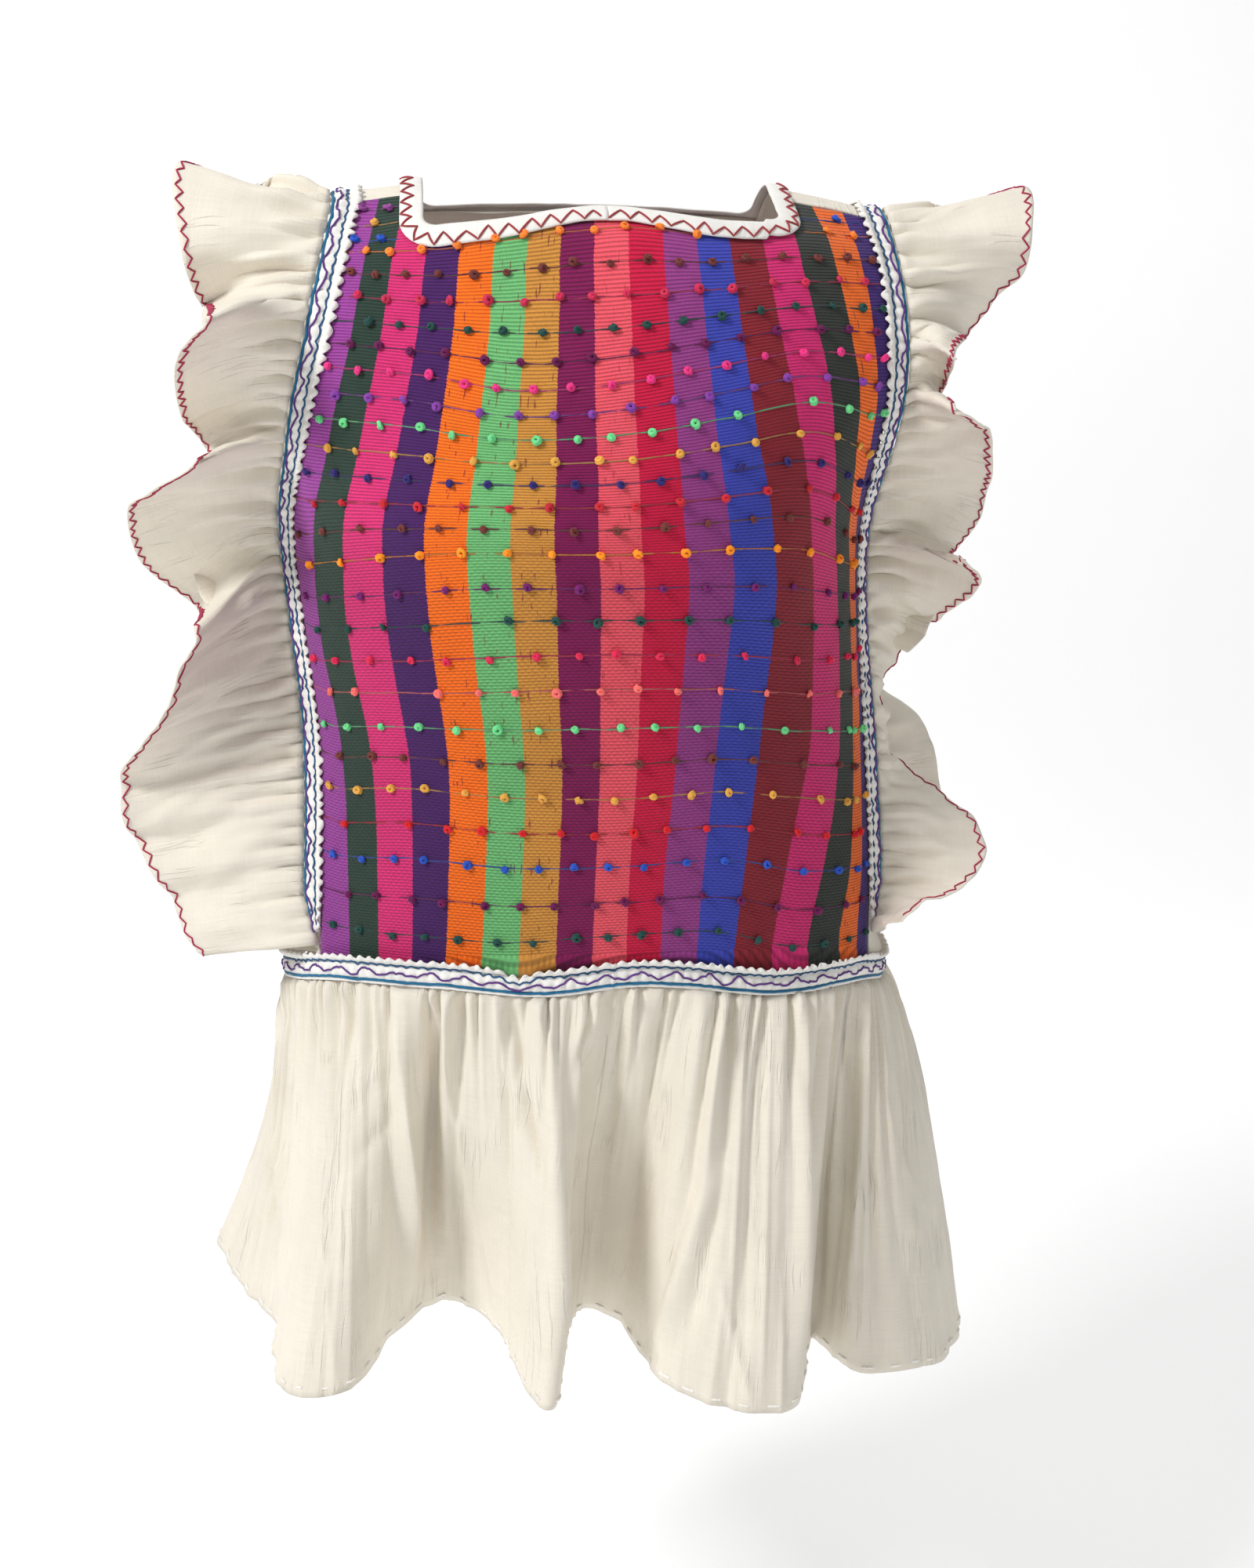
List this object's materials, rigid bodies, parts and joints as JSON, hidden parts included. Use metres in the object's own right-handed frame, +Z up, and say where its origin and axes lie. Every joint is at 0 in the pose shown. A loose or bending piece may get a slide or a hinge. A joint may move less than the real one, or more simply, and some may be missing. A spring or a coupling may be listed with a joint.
{
  "type": "ruffled blouse",
  "caption": "Sleeveless square-neck blouse with a striped handwoven front, white gauze back, smocked bands, flutter ruffles at the armholes and a gathered peplum, in its hollow worn form",
  "frame": {"origin": "between the shoulders, at the height of the shoulder seams, where a wearer's shoulders hold the blouse up", "axes": "+Z is up, the wearer faces -Y, and +X is the right of somebody who looks at the front"},
  "size_m": [0.5052, 0.3271, 0.6904],
  "materials": {
    "striped_cloth": "matte",
    "white_gauze": "matte",
    "band_cloth": "matte"
  },
  "bodies": {
    "root": {"front_panel": "striped_cloth", "back_panel": "white_gauze", "neck_band": "band_cloth", "armhole_band_left": "band_cloth", "armhole_band_right": "band_cloth", "side_panel_left": "white_gauze", "side_panel_right": "white_gauze", "ruffle_left": "white_gauze", "ruffle_right": "white_gauze", "waist_band_front": "band_cloth", "waist_band_back": "band_cloth", "peplum_front": "white_gauze", "peplum_back": "white_gauze"}
  },
  "joints": []
}
